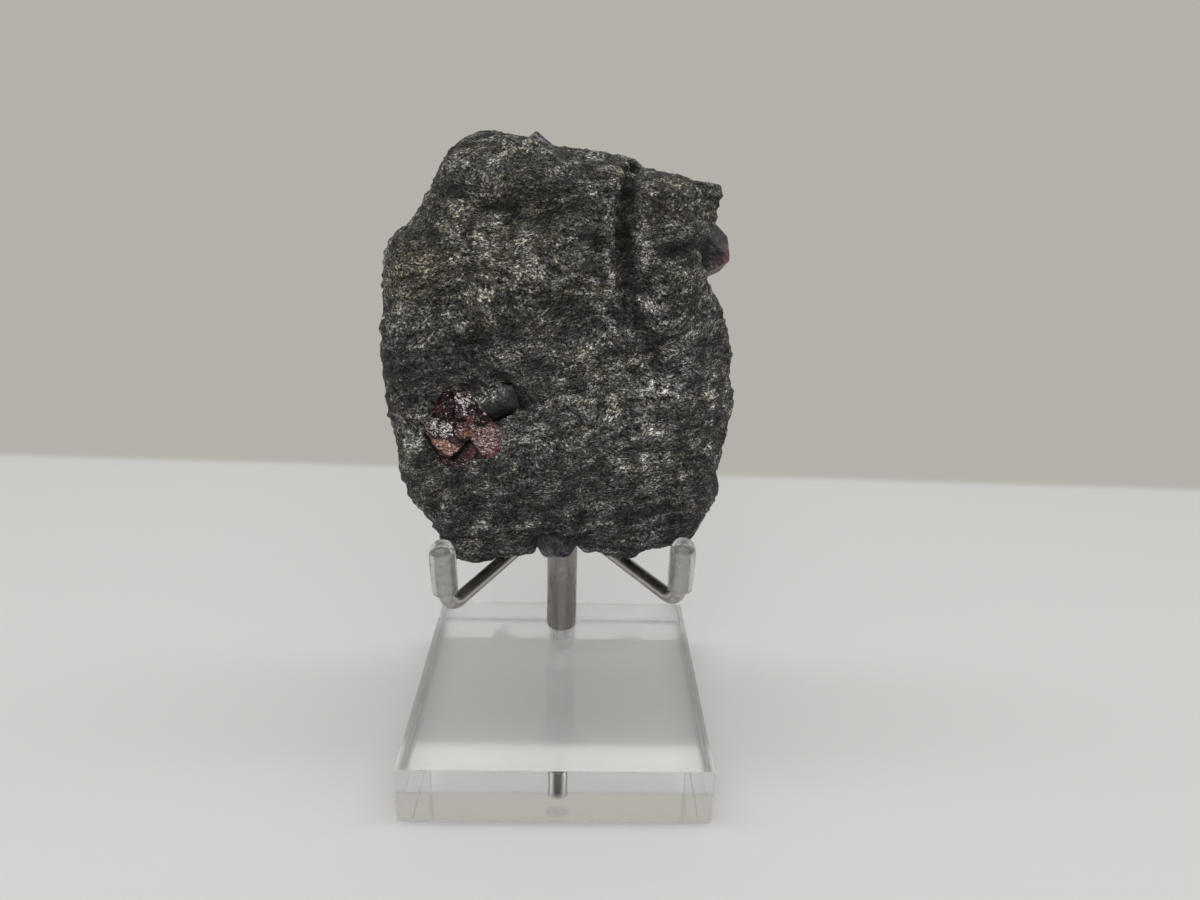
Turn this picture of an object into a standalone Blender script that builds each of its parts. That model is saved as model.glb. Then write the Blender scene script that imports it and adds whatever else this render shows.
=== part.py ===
"""Garnets in a block of mica schist, leaning on a wire-armed display stand.

The origin is the middle of the clear base block's underside. X runs to the right along the block's
front edge, Y runs away from the front and Z runs up.
"""

import math

import bmesh
import bpy
from mathutils import Matrix, Vector, noise

MM = 0.001
GAP = 0.3 * MM            # air left between pieces that touch

# The stand
BLOCK_SIDE = 63.5 * MM
BLOCK_HEIGHT = 12.7 * MM
BLOCK_EDGE = 0.35 * MM    # broken edge all round
POST_Y = 21.0 * MM
POST_RADIUS = 3.7 * MM
POST_TOP = 50.0 * MM
POST_EDGE = 0.6 * MM
STUD_RADIUS = 2.0 * MM    # the post's own pin, which stands in a blind hole in the block
STUD_LENGTH = 7.6 * MM
STUD_CHAMFER = 0.3 * MM
HOLE_CHAMFER = 0.5 * MM
WIRE_RADIUS = 1.5 * MM
BEND_RADIUS = 4.0 * MM    # to the wire's centre line
BACK_BEND_RADIUS = 24.0 * MM
ARM_END = 3.3 * MM        # how near to the post's axis a front arm ends
SOCKET_END = 3.0 * MM     # and its socket
OVERSHOOT = 1.0 * MM      # how far a cutter reaches out of what it cuts
CAP_LENGTH = 11.0 * MM
CAP_RADIUS = 2.65 * MM
CAP_MOUTH = 2.45 * MM     # outer radius at the open end
CAP_CROWN = 2.6 * MM      # solid vinyl above the wire's end
# The cap's outside from its mouth up, as shares of its radius and length
CAP_PROFILE = [(0.97, 0.15), (1.0, 0.4), (0.98, 0.7), (0.9, 0.83), (0.68, 0.94), (0.35, 0.99)]
POST_SEGMENTS = 32
HOLE_SEGMENTS = 24
CAP_SEGMENTS = 20
SOCKET_SEGMENTS = 16
WIRE_POINTS = 6           # points in each bend
WIRE_ROUNDING = 4         # and round the wire, in each quarter

# Where each front arm leaves the post, where it turns up, how high its cap starts, and how many degrees
# its tip leans to the right
ARMS = {
    "left": {"root_z": 45.1 * MM, "corner": (-22.0 * MM, -20.1 * MM, 42.0 * MM), "cap_z": 46.0 * MM,
             "splay": -2.0},
    "right": {"root_z": 43.3 * MM, "corner": (24.1 * MM, -17.4 * MM, 42.5 * MM), "cap_z": 45.9 * MM,
              "splay": 0.8},
}
BACK_ARM_ROOT = 46.8 * MM
BACK_ARM_BEND = 54.0 * MM
BACK_ARM_LEAN = math.radians(3)
BACK_ARM_TOP = 79.0 * MM

# The stone, all in millimetres: its rim lies in a plane that leans back from (REST_Y, REST_Z)
REST_Y = -2.0
REST_Z = 45.0
LEAN = math.tan(math.radians(8))
CENTRE = (-1.0, 89.0)     # the middle of the rim, which deeper rings shrink towards
VOXEL = 1.0
MATRIX_TRIANGLES = 6000

# The rim of the stone as (x, z) in millimetres, clockwise from the top left shoulder
OUTLINE = [
    (-19.0, 129.7), (-15.0, 130.3), (-8.0, 129.3), (-2.5, 127.8), (8.0, 127.0), (13.0, 126.0),
    (14.5, 124.3), (20.5, 123.7), (26.5, 122.0), (30.0, 122.2), (30.6, 120.5), (29.0, 117.0),
    (27.5, 114.0), (26.0, 110.5), (27.5, 106.5), (28.5, 103.5), (32.0, 97.5), (33.5, 91.0),
    (33.5, 85.5), (35.0, 80.5), (33.5, 74.5), (32.0, 68.0), (31.1, 65.0), (32.5, 62.5),
    (30.4, 57.3), (28.4, 51.8), (26.0, 49.6), (21.0, 48.8), (17.2, 47.8), (15.0, 46.0),
    (10.5, 46.6), (7.5, 47.2), (5.0, 47.0), (3.2, 48.6), (-5.0, 48.4), (-6.4, 46.5),
    (-13.3, 45.9), (-16.5, 44.9), (-19.5, 44.9), (-22.3, 46.0), (-24.3, 48.2), (-26.7, 52.0),
    (-31.7, 58.9), (-33.7, 64.0), (-33.8, 70.5), (-35.3, 75.5), (-35.9, 82.0), (-36.2, 86.0),
    (-35.5, 92.0), (-35.4, 97.0), (-36.2, 100.5), (-35.5, 104.5), (-35.0, 108.0), (-33.0, 111.6),
    (-31.0, 112.2), (-27.7, 117.5), (-24.8, 123.0), (-22.3, 127.0),
]

# How the outline shrinks with depth on either side of the rim: (depth, scale, lift of its middle)
FRONT_PROFILE = [
    (4.5, 0.99, 0.0), (8.5, 0.96, 0.6), (11.0, 0.91, 1.6), (12.6, 0.83, 2.4), (13.2, 0.55, 1.5),
]
BACK_PROFILE = [
    (4.5, 0.985, 0.0), (8.5, 0.95, -0.4), (11.5, 0.88, -0.8), (13.2, 0.76, -1.0), (13.8, 0.5, -1.0),
]

# Flat breaks that take off the slab's corners: a point on each (x, depth, z) and its outward direction
FACETS = {
    "front_brow": ((-8.0, -10.5, 125.5), (-0.1, -0.7, 0.7)),
    "front_right_cheek": ((28.5, -9.5, 78.0), (0.6, -0.8, 0.05)),
    "front_left_cheek": ((-31.0, -9.5, 66.0), (-0.6, -0.75, -0.2)),
    "back_crown": ((0.0, 10.0, 122.0), (0.1, 0.75, 0.6)),
    "back_right": ((25.0, 9.0, 62.0), (0.6, 0.7, -0.25)),
    "back_left": ((-27.0, 9.0, 84.0), (-0.65, 0.75, 0.1)),
    "back_heel": ((-6.0, 10.5, 52.5), (-0.1, 0.7, -0.7)),
}

# Swells (+) and hollows (-): x, z, half width, half height, turn in degrees, lift
FRONT_LUMPS = {
    "top_shoulder": (-14.0, 124.0, 9.0, 3.0, -4.0, 1.0),
    "upper_hollow": (-6.0, 117.3, 8.5, 2.2, 9.0, -1.8),
    "upper_lip": (-5.0, 120.3, 9.0, 1.3, 9.0, 0.9),
    "middle_swell": (-6.0, 106.0, 12.0, 6.0, 6.0, 1.3),
    "left_shoulder": (-28.0, 105.5, 6.0, 6.5, 0.0, 1.9),
    "left_furrow": (-20.5, 100.0, 3.0, 6.0, 25.0, -1.1),
    "left_flank": (-27.0, 91.0, 8.0, 3.5, 5.0, 1.0),
    "right_recess": (19.0, 118.0, 8.0, 6.0, 0.0, -1.6),
    "crumbly_rib": (14.4, 110.5, 1.5, 3.2, 12.0, 2.0),
    "crumbly_knob": (14.5, 101.3, 3.4, 1.7, -28.0, 1.8),
    "right_swell": (24.0, 97.0, 8.0, 6.0, -30.0, 1.4),
    "garnet_mound": (-17.5, 77.5, 14.0, 10.0, 0.0, 1.0),
    "garnet_seat": (-19.2, 75.6, 7.6, 7.6, 0.0, -2.6),
    "grainy_swell": (4.0, 78.5, 13.0, 6.0, 4.0, 1.4),
    "lower_right_flat": (20.0, 66.0, 10.0, 8.0, 0.0, -0.8),
    "lower_ledge": (-10.0, 60.5, 14.0, 2.0, 6.0, 0.9),
    "lower_furrow": (-14.0, 57.3, 12.0, 1.4, 8.0, -1.0),
}
BACK_LUMPS = {
    "back_ridge": (-12.0, 108.0, 7.0, 12.0, 30.0, 2.0),
    "back_hollow": (12.0, 104.0, 10.0, 7.0, 10.0, -2.6),
    "back_ledge": (8.0, 91.5, 18.0, 2.5, 6.0, 1.4),
    "back_rest": (0.0, 76.0, 9.0, 9.0, 0.0, 0.8),
    "back_scoop": (-20.0, 68.0, 9.0, 9.0, -20.0, -2.4),
    "back_lower_swell": (18.0, 62.0, 9.0, 6.0, 0.0, 1.2),
}

# Steps: walking along a line's points (x, z, drop), the face drops on the left of it, then comes back
# over the width
FRONT_STEPS = {
    "groove": {
        "line": [(12.5, 127.0, 4.5), (9.8, 123.5, 5.0), (9.6, 120.5, 4.6), (8.6, 116.5, 4.2),
                 (8.3, 112.0, 4.0), (8.6, 108.0, 3.4), (9.6, 103.5, 3.0), (11.4, 100.0, 2.6),
                 (13.4, 95.0, 2.2), (16.0, 88.5, 1.4), (20.0, 84.5, 1.0), (25.0, 82.5, 0.0)],
        "width": 9.0,
    },
    "undercut": {
        "line": [(27.0, 110.6, 2.6), (23.0, 111.6, 2.8), (18.0, 111.2, 2.2), (15.5, 112.0, 0.0)],
        "width": 5.0,
    },
    "cleft": {
        "line": [(8.0, 85.8, 0.0), (3.0, 85.2, 1.3), (-3.0, 83.6, 1.6), (-7.5, 82.0, 1.4)],
        "width": 3.0,
    },
    "foot": {
        "line": [(30.0, 54.5, 0.0), (16.0, 53.3, 1.6), (8.0, 53.8, 2.0), (0.0, 54.4, 2.4),
                 (-7.5, 55.2, 2.8), (-13.0, 55.4, 3.0), (-20.0, 54.0, 3.0), (-27.0, 51.0, 1.5)],
        "width": 14.0,
    },
}

# Heels under the stone that sit on the two front arms: x, depth, half width, half depth, drop
HEELS = {"left": (-11.5, 3.0, 4.5, 4.0, 0.9), "right": (12.3, 3.2, 4.5, 4.0, 1.9)}
HEEL_TOP = 50.0

STEP_BITE = 1.2           # how quickly a step drops away
RELIEF_START = 2.0        # relief comes in between these distances from the rim's plane
RELIEF_FULL = 8.0
FOLIATION_RISE = 0.10     # the schist's layers climb to the right by this slope

# Waves in the stone's layers: length along x, depth and z, strength, share of it left at the rim
WAVES = {
    "blocks": ((24.0, 20.0, 18.0), 1.3, 0.2),
    "chunks": ((9.0, 9.0, 5.0), 0.5, 0.6),
    "layers": ((16.0, 9.0, 3.0), 0.35, 0.7),
}

# Flakes broken off along the layers: their size along x, depth and z, and how far each one lifts and tilts
FLAKES = {
    "big": ((19.0, 15.0, 11.0), 0.7, 1.1),
    "small": ((8.0, 7.0, 3.6), 0.22, 0.5),
}
FLAKE_BLEND = 0.25        # how much of a flake its edge takes up
FLAKE_AT_RIM = 0.2        # share of the flakes left at the rim
FLAKE_SHUFFLE = 7.31      # spreads the flakes' centres before each draws its own lift and tilt

# Garnets, in millimetres: the centre, the distance from it to a crystal face, the turn about X, Y and Z
# in degrees, and the planes that cut it back: the way each one faces and its distance from the centre
GARNETS = {
    "garnet_front_broken": {
        "centre": (-19.4, -10.6, 75.5), "reach": 7.0, "turn": (20, 8, 12),
        "cuts": [((0.795, 0.0, 0.607), 5.8), ((1.0, 0.0, -0.1), 7.2), ((-0.1, -1.0, 0.35), 1.5),
                 ((0.15, -0.93, 0.9), 3.1), ((-0.55, -0.85, -0.1), 2.7), ((0.5, -0.95, -0.15), 1.9),
                 ((-0.25, -0.9, -0.55), 3.2), ((0.3, -0.9, -0.7), 3.3), ((-0.8, -0.55, 0.5), 4.2)],
    },
    "garnet_front_small": {
        "centre": (-12.5, -9.9, 81.7), "reach": 3.7, "turn": (35, 20, 40),
        "cuts": [((-0.795, 0.0, -0.607), 2.9), ((0.25, -1.0, 0.35), 1.4), ((0.3, -1.0, -0.6), 1.7)],
    },
    "garnet_right": {"centre": (26.9, 9.5, 108.9), "reach": 5.1, "turn": (10, 0, 52), "cuts": []},
    "garnet_top": {"centre": (-5.2, 12.5, 125.5), "reach": 3.3, "turn": (0, 0, 30), "cuts": []},
    "garnet_bottom": {"centre": (-0.8, -3.5, 50.1), "reach": 4.5, "turn": (25, 10, 30), "cuts": []},
    "garnet_left": {"centre": (-31.3, 6.5, 101.2), "reach": 4.3, "turn": (15, 0, 30), "cuts": []},
}

# Colour, roughness, metallic, transmission
FINISHES = {
    "schist": ((0.075, 0.072, 0.066), 0.75, 0.0, 0.0),
    "garnet": ((0.16, 0.03, 0.04), 0.22, 0.0, 0.0),
    "coated_garnet": ((0.10, 0.10, 0.115), 0.4, 0.0, 0.0),
    "acrylic": ((0.95, 0.96, 0.97), 0.04, 0.0, 1.0),
    "vinyl": ((0.93, 0.95, 0.95), 0.12, 0.0, 1.0),
    "steel": ((0.52, 0.50, 0.47), 0.24, 1.0, 0.0),
}


def clear_scene():
    for item in list(bpy.data.objects):
        bpy.data.objects.remove(item, do_unlink=True)


def finish_named(name):
    """The shared Principled material called name."""
    if name in bpy.data.materials:
        return bpy.data.materials[name]
    colour, roughness, metallic, transmission = FINISHES[name]
    material = bpy.data.materials.new(name)
    material.use_nodes = True
    shader = material.node_tree.nodes["Principled BSDF"]
    shader.inputs["Base Color"].default_value = (*colour, 1.0)
    shader.inputs["Roughness"].default_value = roughness
    shader.inputs["Metallic"].default_value = metallic
    shader.inputs["Transmission Weight"].default_value = transmission
    return material


def add_object(name, mesh, finish):
    item = bpy.data.objects.new(name, mesh)
    bpy.context.scene.collection.objects.link(item)
    item.data.materials.clear()
    item.data.materials.append(finish_named(finish))
    return item


def mesh_from(shape, name):
    """Close off a bmesh as a mesh data block."""
    mesh = bpy.data.meshes.new(name)
    shape.to_mesh(mesh)
    shape.free()
    return mesh


def smooth(mesh, angle=35):
    """Smooth shading with the edges sharper than angle left crisp."""
    mesh.shade_smooth()
    mesh.set_sharp_from_angle(angle=math.radians(angle))


def add_cutter(target, cutter):
    """Cut target with cutter, which stays in the scene as a hidden guide."""
    cutter.hide_render = True
    cutter.display_type = "WIRE"
    cut = target.modifiers.new(cutter.name, "BOOLEAN")
    cut.operation = "DIFFERENCE"
    cut.object = cutter


def turned(name, profile, finish, segments):
    """Turn a closed loop of (radius, height) points about Z; points at radius 0 lie on the axis."""
    shape = bmesh.new()
    verts = [shape.verts.new((radius, 0.0, height)) for radius, height in profile]
    edges = [shape.edges.new(pair) for pair in zip(verts, verts[1:])]
    bmesh.ops.spin(shape, geom=verts + edges, axis=(0, 0, 1), cent=(0, 0, 0),
                   angle=math.tau, steps=segments, use_merge=True)
    bmesh.ops.remove_doubles(shape, verts=shape.verts, dist=1e-6)
    bmesh.ops.recalc_face_normals(shape, faces=shape.faces)
    item = add_object(name, mesh_from(shape, name), finish)
    smooth(item.data)
    return item


def stand_along(item, base, direction):
    """Put a turned piece's foot at base and its axis along direction."""
    turn = direction.to_track_quat("Z", "Y").to_matrix().to_4x4()
    item.matrix_world = Matrix.Translation(base) @ turn


def make_socket(name, bottom, top):
    """A plain cutter for the hole that a wire's end sits in."""
    bore = WIRE_RADIUS + GAP
    return turned(name, [(0, bottom), (bore, bottom), (bore, top), (0, top)], "steel", SOCKET_SEGMENTS)


def make_base_block():
    shape = bmesh.new()
    bmesh.ops.create_cube(shape, size=1.0)
    bmesh.ops.scale(shape, verts=shape.verts, vec=(BLOCK_SIDE, BLOCK_SIDE, BLOCK_HEIGHT))
    bmesh.ops.translate(shape, verts=shape.verts, vec=(0, 0, BLOCK_HEIGHT / 2))
    bmesh.ops.bevel(shape, geom=shape.edges[:], offset=BLOCK_EDGE, segments=2, profile=0.5, affect="EDGES")
    block = add_object("base_block", mesh_from(shape, "base_block"), "acrylic")
    radius = STUD_RADIUS + GAP
    floor = BLOCK_HEIGHT - STUD_LENGTH - GAP
    top = BLOCK_HEIGHT + OVERSHOOT
    hole = turned("stud_hole", [
        (0, floor), (radius, floor), (radius, BLOCK_HEIGHT - HOLE_CHAMFER),
        (radius + HOLE_CHAMFER, BLOCK_HEIGHT), (radius + HOLE_CHAMFER, top), (0, top),
    ], "acrylic", HOLE_SEGMENTS)
    hole.location.y = POST_Y
    add_cutter(block, hole)


def make_post():
    foot = BLOCK_HEIGHT + GAP
    pin_end = foot - STUD_LENGTH
    rim = POST_RADIUS - POST_EDGE
    post = turned("post", [
        (0, pin_end), (STUD_RADIUS - STUD_CHAMFER, pin_end), (STUD_RADIUS, pin_end + STUD_CHAMFER),
        (STUD_RADIUS, foot), (rim, foot), (rim + 0.8 * POST_EDGE, foot + 0.4 * POST_EDGE),
        (POST_RADIUS, foot + POST_EDGE), (POST_RADIUS, POST_TOP - POST_EDGE), (rim, POST_TOP), (0, POST_TOP),
    ], "steel", POST_SEGMENTS)
    post.location.y = POST_Y
    for side, arm in ARMS.items():
        socket = make_socket("socket_" + side, SOCKET_END, 2 * POST_RADIUS)
        root = Vector((0, POST_Y, arm["root_z"]))
        stand_along(socket, root, Vector(arm["corner"]) - root)
        add_cutter(post, socket)
    socket = make_socket("socket_back", BACK_ARM_ROOT - GAP, POST_TOP + OVERSHOOT)
    socket.location.y = POST_Y
    add_cutter(post, socket)


def rounded_corner(before, corner, after, radius):
    """Points of the arc that rounds the corner of a bent wire."""
    into = (corner - before).normalized()
    out = (after - corner).normalized()
    half = into.angle(out) / 2
    start = corner - into * radius * math.tan(half)
    centre = start + (out - into * into.dot(out)).normalized() * radius
    axis = into.cross(out)
    arm = start - centre
    return [centre + Matrix.Rotation(2 * half * step / WIRE_POINTS, 3, axis) @ arm
            for step in range(WIRE_POINTS + 1)]


def make_wire(name, points):
    curve = bpy.data.curves.new(name, "CURVE")
    curve.dimensions = "3D"
    curve.bevel_depth = WIRE_RADIUS
    curve.bevel_resolution = WIRE_ROUNDING
    curve.use_fill_caps = True
    spline = curve.splines.new("POLY")
    spline.points.add(len(points) - 1)
    for slot, point in zip(spline.points, points):
        slot.co = (*point, 1.0)
    add_object(name, curve, "steel")


def make_cap(name, base, direction):
    """A domed sleeve whose open end is at base and which runs along direction."""
    bore = WIRE_RADIUS + GAP
    bore_end = CAP_LENGTH - CAP_CROWN + GAP
    inside = [(0, bore_end), (bore - GAP, bore_end), (bore, bore_end - GAP), (bore, 0), (CAP_MOUTH, 0)]
    outside = [(CAP_RADIUS * width, CAP_LENGTH * height) for width, height in CAP_PROFILE]
    cap = turned(name, inside + outside + [(0, CAP_LENGTH)], "vinyl", CAP_SEGMENTS)
    stand_along(cap, base, direction)


def make_front_arm(side):
    arm = ARMS[side]
    corner = Vector(arm["corner"])
    root = Vector((0, POST_Y, arm["root_z"]))
    start = root + (corner - root).normalized() * ARM_END
    up = Matrix.Rotation(math.radians(arm["splay"]), 3, "Y") @ Vector((0, 0, 1))
    cap_base = corner + up * (arm["cap_z"] - corner.z)
    tip = cap_base + up * (CAP_LENGTH - CAP_CROWN)
    bend = rounded_corner(start, corner, tip, BEND_RADIUS)
    make_wire("arm_" + side, [start, *bend, tip])
    make_cap("cap_" + side, cap_base, up)


def make_back_arm():
    root = Vector((0, POST_Y, BACK_ARM_ROOT))
    corner = Vector((0, POST_Y, BACK_ARM_BEND))
    direction = Vector((0, -math.sin(BACK_ARM_LEAN), math.cos(BACK_ARM_LEAN)))
    tip = corner + direction * (BACK_ARM_TOP - BACK_ARM_BEND)
    bend = rounded_corner(root, corner, tip, BACK_BEND_RADIUS)
    make_wire("arm_back", [root, *bend, tip])
    make_cap("cap_back", tip - direction * (CAP_LENGTH - CAP_CROWN), direction)


def slice_off(shape, point, direction):
    """Cut away what lies beyond a plane and close the cut."""
    cut = bmesh.ops.bisect_plane(shape, geom=shape.verts[:] + shape.edges[:] + shape.faces[:], dist=1e-6,
                                 plane_co=point, plane_no=direction, clear_outer=True)
    rim = [item for item in cut["geom_cut"] if isinstance(item, bmesh.types.BMEdge)]
    if rim:
        bmesh.ops.contextual_create(shape, geom=rim)


def make_crystal(name, garnet, grow=0.0):
    """A garnet's twelve rhombic faces, then its broken ones, each moved out by grow."""
    centre = Vector(garnet["centre"]) * MM
    turn = Matrix.Rotation(math.radians(garnet["turn"][2]), 3, "Z")
    turn @= Matrix.Rotation(math.radians(garnet["turn"][1]), 3, "Y")
    turn @= Matrix.Rotation(math.radians(garnet["turn"][0]), 3, "X")
    planes = []
    for first, second in ((0, 1), (0, 2), (1, 2)):
        for a in (-1, 1):
            for b in (-1, 1):
                direction = Vector((0, 0, 0))
                direction[first] = a
                direction[second] = b
                planes.append((turn @ direction, garnet["reach"] * MM))
    planes += [(Vector(direction), distance * MM) for direction, distance in garnet["cuts"]]
    shape = bmesh.new()
    bmesh.ops.create_cube(shape, size=6 * garnet["reach"] * MM)
    for direction, distance in planes:
        direction.normalize()
        slice_off(shape, direction * (distance + grow), direction)
    bmesh.ops.recalc_face_normals(shape, faces=shape.faces)
    bmesh.ops.translate(shape, verts=shape.verts, vec=centre)
    return mesh_from(shape, name)


def ring_of(scale, lift):
    """The rim's outline shrunk towards its middle, as (x, z) pairs."""
    cx, cz = CENTRE
    return [(cx + (x - cx) * scale, cz + (z - cz) * scale + lift) for x, z in OUTLINE]


def rough_slab():
    """The stone's body before any relief: rings of the outline joined front to back."""
    shape = bmesh.new()
    layers = [(-depth, scale, lift) for depth, scale, lift in reversed(FRONT_PROFILE)]
    layers += [(0.0, 1.0, 0.0)]
    layers += BACK_PROFILE
    rings = []
    for depth, scale, lift in layers:
        rings.append([shape.verts.new((x * MM, depth * MM, z * MM)) for x, z in ring_of(scale, lift)])
    for ring, following in zip(rings, rings[1:]):
        for place in range(len(ring)):
            after = (place + 1) % len(ring)
            shape.faces.new((ring[place], ring[after], following[after], following[place]))
    shape.faces.new(rings[0])
    shape.faces.new(reversed(rings[-1]))
    for point, direction in FACETS.values():
        slice_off(shape, Vector(point) * MM, Vector(direction).normalized())
    bmesh.ops.recalc_face_normals(shape, faces=shape.faces)
    return mesh_from(shape, "rough_slab")


def evaluated_copy(item):
    """The mesh of an object with its modifiers applied."""
    graph = bpy.context.evaluated_depsgraph_get()
    return bpy.data.meshes.new_from_object(item.evaluated_get(graph))


def ease(value):
    value = min(max(value, 0.0), 1.0)
    return value * value * (3 - 2 * value)


def lump_height(x, z, lump):
    cx, cz, half_width, half_height, turn, lift = lump
    across = math.cos(math.radians(turn))
    rise = math.sin(math.radians(turn))
    u = ((x - cx) * across + (z - cz) * rise) / half_width
    v = ((z - cz) * across - (x - cx) * rise) / half_height
    return lift * math.exp(-(u * u + v * v))


def step_height(x, z, line, width):
    """How far a step lowers the point; the low side is on the left when walking along the line."""
    best = None
    for (x0, z0, drop0), (x1, z1, drop1) in zip(line, line[1:]):
        dx = x1 - x0
        dz = z1 - z0
        share = min(max(((x - x0) * dx + (z - z0) * dz) / (dx * dx + dz * dz), 0.0), 1.0)
        away_x = x - x0 - share * dx
        away_z = z - z0 - share * dz
        away = math.hypot(away_x, away_z)
        if best is None or away < best[0]:
            side = dx * away_z - dz * away_x
            best = (away, side, drop0 + share * (drop1 - drop0))
    away, side, drop = best
    if side <= 0 or away >= width:
        return 0.0
    return -drop * ease(away / STEP_BITE) * (1 - away / width)


def relief(x, z, lumps, steps):
    height = sum(lump_height(x, z, lump) for lump in lumps.values())
    return height + sum(step_height(x, z, step["line"], step["width"]) for step in steps.values())


def layered_noise(point, kind, lead):
    (size_x, size_y, size_z), strength, at_rim = kind
    z = point.z - FOLIATION_RISE * point.x
    value = noise.noise(Vector((point.x / size_x, point.y / size_y, z / size_z)))
    return value * strength * (at_rim + (1 - at_rim) * lead)


def flake_at(point, centre):
    """Height of the flake that belongs to one cell centre: its own lift and its own tilt."""
    character = noise.cell_vector(centre * FLAKE_SHUFFLE) * 2 - Vector((1, 1, 1))
    away = point - centre
    return character.x, character.y * away.x + character.z * away.z


def flaked(point, kind, lead):
    """Broken-off flakes: flat, tilted patches that meet in short steep steps."""
    (size_x, size_y, size_z), lift, tilt = kind
    z = point.z - FOLIATION_RISE * point.x
    place = Vector((point.x / size_x, point.y / size_y, z / size_z))
    distances, centres = noise.voronoi(place)
    heights = []
    for centre in centres[:2]:
        level, slope = flake_at(place, centre)
        heights.append(lift * level + tilt * slope)
    near = 0.5 + 0.5 * ease((distances[1] - distances[0]) / FLAKE_BLEND)
    return (heights[0] * near + heights[1] * (1 - near)) * (FLAKE_AT_RIM + (1 - FLAKE_AT_RIM) * lead)


def carve(mesh):
    """Give the slab its swells, hollows, steps and layers, then lean it back."""
    normals = [vertex.normal.copy() for vertex in mesh.vertices]
    for vertex, normal in zip(mesh.vertices, normals):
        point = vertex.co / MM
        lead = ease((abs(point.y) - RELIEF_START) / (RELIEF_FULL - RELIEF_START))
        if point.y < 0:
            point.y -= lead * relief(point.x, point.z, FRONT_LUMPS, FRONT_STEPS)
        else:
            point.y += lead * relief(point.x, point.z, BACK_LUMPS, {})
        if point.z < HEEL_TOP:
            point.z += sum(lump_height(point.x, point.y, (x, depth, width, reach, 0.0, -drop))
                           for x, depth, width, reach, drop in HEELS.values())
        bump = sum(layered_noise(point, kind, lead) for kind in WAVES.values())
        bump += sum(flaked(point, kind, lead) for kind in FLAKES.values())
        point += normal * bump
        point.y += REST_Y + (point.z - REST_Z) * LEAN
        vertex.co = point * MM


def make_matrix():
    slab = add_object("rough_slab", rough_slab(), "schist")
    even = slab.modifiers.new("even", "REMESH")
    even.mode = "VOXEL"
    even.voxel_size = VOXEL * MM
    mesh = evaluated_copy(slab)
    bpy.data.objects.remove(slab)
    carve(mesh)
    mesh.name = "matrix"
    stone = add_object("matrix", mesh, "schist")
    thin = stone.modifiers.new("thin", "DECIMATE")
    thin.use_collapse_triangulate = True
    thin.ratio = MATRIX_TRIANGLES / (2 * len(mesh.polygons))
    for name, garnet in GARNETS.items():
        socket = add_object("seat_" + name, make_crystal("seat_" + name, garnet, GAP), "schist")
        add_cutter(stone, socket)


def make_garnets():
    for name, garnet in GARNETS.items():
        finish = "garnet" if name == "garnet_front_broken" else "coated_garnet"
        add_object(name, make_crystal(name, garnet), finish)


def main():
    clear_scene()
    make_base_block()
    make_post()
    for side in ARMS:
        make_front_arm(side)
    make_back_arm()
    make_matrix()
    make_garnets()


main()
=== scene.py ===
import math

import bpy
from mathutils import Matrix, Vector, noise
from mathutils.bvhtree import BVHTree


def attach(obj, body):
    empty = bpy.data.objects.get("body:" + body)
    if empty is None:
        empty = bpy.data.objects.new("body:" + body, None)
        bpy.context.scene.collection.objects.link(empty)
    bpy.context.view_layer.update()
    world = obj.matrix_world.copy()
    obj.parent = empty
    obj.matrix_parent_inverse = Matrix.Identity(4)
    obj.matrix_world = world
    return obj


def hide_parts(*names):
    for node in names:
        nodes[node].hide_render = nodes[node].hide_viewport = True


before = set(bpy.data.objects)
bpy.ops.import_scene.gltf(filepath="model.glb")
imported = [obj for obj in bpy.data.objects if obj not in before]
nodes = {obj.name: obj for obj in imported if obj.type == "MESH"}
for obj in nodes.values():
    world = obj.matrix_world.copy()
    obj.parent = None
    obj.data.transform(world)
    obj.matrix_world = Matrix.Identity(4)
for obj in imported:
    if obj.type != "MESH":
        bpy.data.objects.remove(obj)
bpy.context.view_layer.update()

noise.seed_set(11)       # without a seed noise_vector starts from the clock
mm = 0.001
print("frame loaded")


def activate(item):
    bpy.ops.object.select_all(action="DESELECT")
    item.select_set(True)
    bpy.context.view_layer.objects.active = item


def applyModifiers(item):
    activate(item)
    for modifier in list(item.modifiers):
        bpy.ops.object.modifier_apply(modifier=modifier.name)


def copyNode(node, name):
    # the frame's own mesh, with its loose triangles joined up
    item = bpy.data.objects.new(name, nodes[node].data.copy())
    bpy.context.collection.objects.link(item)
    activate(item)
    bpy.ops.object.mode_set(mode="EDIT")
    bpy.ops.mesh.select_all(action="SELECT")
    bpy.ops.mesh.remove_doubles(threshold=0.002 * mm)
    bpy.ops.object.mode_set(mode="OBJECT")
    return item


def evenOut(item, sizes):
    # small even faces all over, ready for relief
    remesh = item.modifiers.new("even", "REMESH")
    remesh.mode = "VOXEL"
    remesh.voxel_size = sizes["voxel"] * mm
    soft = item.modifiers.new("soft", "SMOOTH")
    soft.factor = 0.5
    soft.iterations = sizes["even"]
    applyModifiers(item)


def settle(item, node, material, smoothAngle):
    # last steps for a finished piece: its place goes into the mesh, then its finish, body and node
    activate(item)
    item.data.transform(item.matrix_world)
    item.matrix_world = Matrix.Identity(4)
    item.data.materials.clear()
    item.data.materials.append(material)
    bpy.ops.object.shade_smooth_by_angle(angle=math.radians(smoothAngle))
    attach(item, "root")
    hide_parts(node)
    print("  ", item.name, len(item.data.polygons), "faces")


def writeNumbers(mesh, name, values):
    layer = mesh.attributes.new(name, "FLOAT", "POINT")
    layer.data.foreach_set("value", values)


def smoothStep(value, low, high):
    share = min(max((value - low) / (high - low), 0.0), 1.0)
    return share * share * (3 - 2 * share)


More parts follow.
